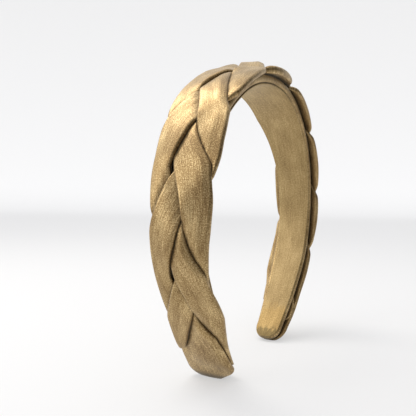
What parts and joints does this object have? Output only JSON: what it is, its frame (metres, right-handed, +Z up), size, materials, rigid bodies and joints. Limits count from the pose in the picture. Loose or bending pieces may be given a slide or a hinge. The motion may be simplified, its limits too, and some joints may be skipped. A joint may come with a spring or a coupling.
{
  "type": "braided headband",
  "caption": "Open arch-shaped headband: a stiff satin-covered band with a smooth lining and three padded strands plaited over its outer face.",
  "frame": {"origin": "centre of the footprint, on the surface that both tips rest on", "axes": "+Z up to the crown, X from one leg to the other, Y across the band's width"},
  "size_m": [0.1486, 0.0306, 0.148],
  "materials": {
    "band_satin": "gold satin pulled tight over a stiff core",
    "lining_satin": "smooth gold satin ribbon, glued flat",
    "strand_satin": "padded gold satin with a fine lengthwise sheen"
  },
  "bodies": {
    "root": {"band": "band_satin", "lining": "lining_satin", "strand_1": "strand_satin", "strand_2": "strand_satin", "strand_3": "strand_satin"}
  },
  "joints": []
}
